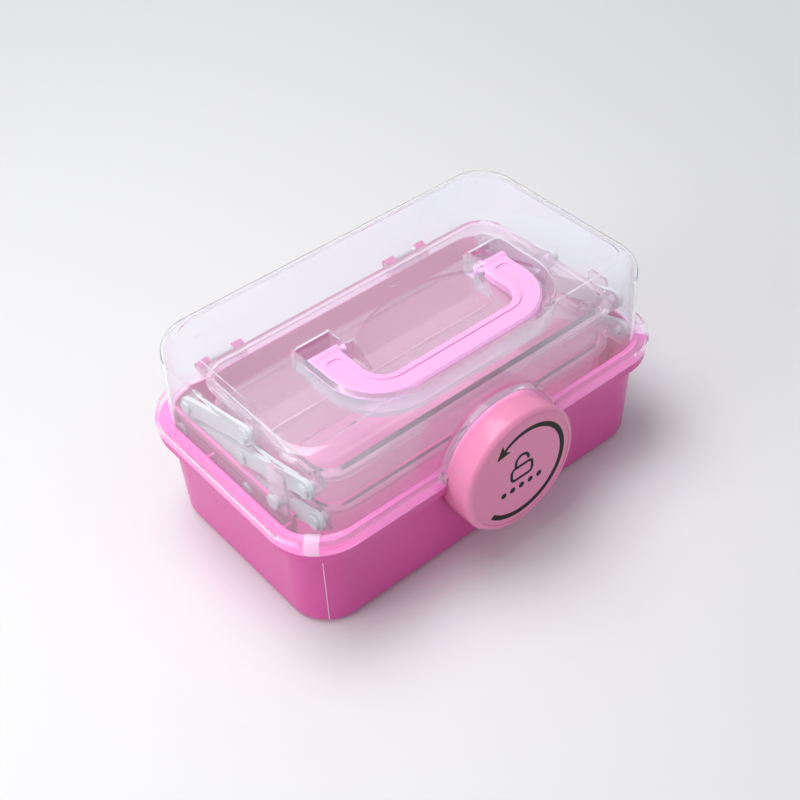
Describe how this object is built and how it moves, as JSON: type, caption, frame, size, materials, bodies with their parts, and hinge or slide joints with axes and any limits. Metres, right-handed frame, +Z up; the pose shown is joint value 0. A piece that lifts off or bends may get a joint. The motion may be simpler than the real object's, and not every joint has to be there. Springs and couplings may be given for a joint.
{
  "type": "craft storage box",
  "caption": "Rounded rectangular craft box with a hinged clear lid, a fold-flat carry handle, a round lock knob on the front and cantilever trays that swing up and back on link arms.",
  "frame": {"origin": "centre of the underside of the base", "axes": "+X to the right along the length, +Y to the hinge side at the back, +Z up; the knob faces -Y"},
  "size_m": [0.302, 0.209, 0.1457],
  "materials": {
    "pink_plastic": "satin",
    "rose_plastic": "satin",
    "pale_pink_plastic": "satin",
    "clear_plastic": "clear, glossy",
    "frosted_plastic": "clear, slightly cloudy",
    "white_plastic": "satin",
    "steel": "plain"
  },
  "bodies": {
    "base": {"base_box": "pink_plastic", "base_rear_rivets": "white_plastic", "base_front_rivets": "white_plastic", "left_hinge_pin": "steel", "right_hinge_pin": "steel"},
    "lid": {"lid": "clear_plastic"},
    "handle": {"carry_handle": "pale_pink_plastic"},
    "knob": {"lock_knob": "rose_plastic", "knob_screw": "steel"},
    "long_arms": {"left_long_arm": "white_plastic", "right_long_arm": "white_plastic"},
    "front_arms": {"left_front_arm": "white_plastic", "right_front_arm": "white_plastic"},
    "middle_tray": {"middle_tray": "frosted_plastic", "middle_centre_rivets": "white_plastic", "middle_front_rivets": "white_plastic", "middle_rear_rivets": "white_plastic", "stop_pins": "white_plastic"},
    "rear_arms": {"left_rear_arm": "white_plastic", "right_rear_arm": "white_plastic"},
    "top_tray": {"top_tray": "frosted_plastic", "top_front_rivets": "white_plastic", "top_rear_rivets": "white_plastic"}
  },
  "joints": [
    {"name": "lid_hinge", "type": "hinge", "parent": "base", "child": "lid", "pos_m": [0, 0.097, 0.078], "axis": [-1, 0, 0], "range_deg": [0, 105]},
    {"name": "handle_pivot", "type": "hinge", "parent": "lid", "child": "handle", "pos_m": [0, -0.0065, 0.1352], "axis": [-1, 0, 0], "range_deg": [0, 110]},
    {"name": "knob_turn", "type": "hinge", "parent": "base", "child": "knob", "pos_m": [0, -0.0855, 0.0692], "axis": [0, -1, 0], "range_deg": [-90, 0]},
    {"name": "long_arm_pivot", "type": "hinge", "parent": "base", "child": "long_arms", "pos_m": [0, 0.066, 0.067], "axis": [-1, 0, 0], "range_deg": [0, 47.25]},
    {"name": "front_arm_pivot", "type": "hinge", "parent": "base", "child": "front_arms", "pos_m": [0, -0.005, 0.067], "axis": [-1, 0, 0], "range_deg": [0, 47.25]},
    {"name": "middle_tray_pivot", "type": "hinge", "parent": "long_arms", "child": "middle_tray", "pos_m": [0, 0.0025, 0.087], "axis": [-1, 0, 0], "range_deg": [-47.25, 0]},
    {"name": "top_tray_pivot", "type": "hinge", "parent": "long_arms", "child": "top_tray", "pos_m": [0, -0.061, 0.107], "axis": [-1, 0, 0], "range_deg": [-47.25, 0]},
    {"name": "rear_arm_pivot", "type": "hinge", "parent": "middle_tray", "child": "rear_arms", "pos_m": [0, 0.0615, 0.087], "axis": [-1, 0, 0], "range_deg": [0, 47.25]}
  ],
  "couplings": [
    {"joint": "long_arm_pivot", "follows": "lid_hinge", "ratio": 0.45},
    {"joint": "front_arm_pivot", "follows": "lid_hinge", "ratio": 0.45},
    {"joint": "middle_tray_pivot", "follows": "lid_hinge", "ratio": -0.45},
    {"joint": "top_tray_pivot", "follows": "lid_hinge", "ratio": -0.45},
    {"joint": "rear_arm_pivot", "follows": "lid_hinge", "ratio": 0.45}
  ]
}
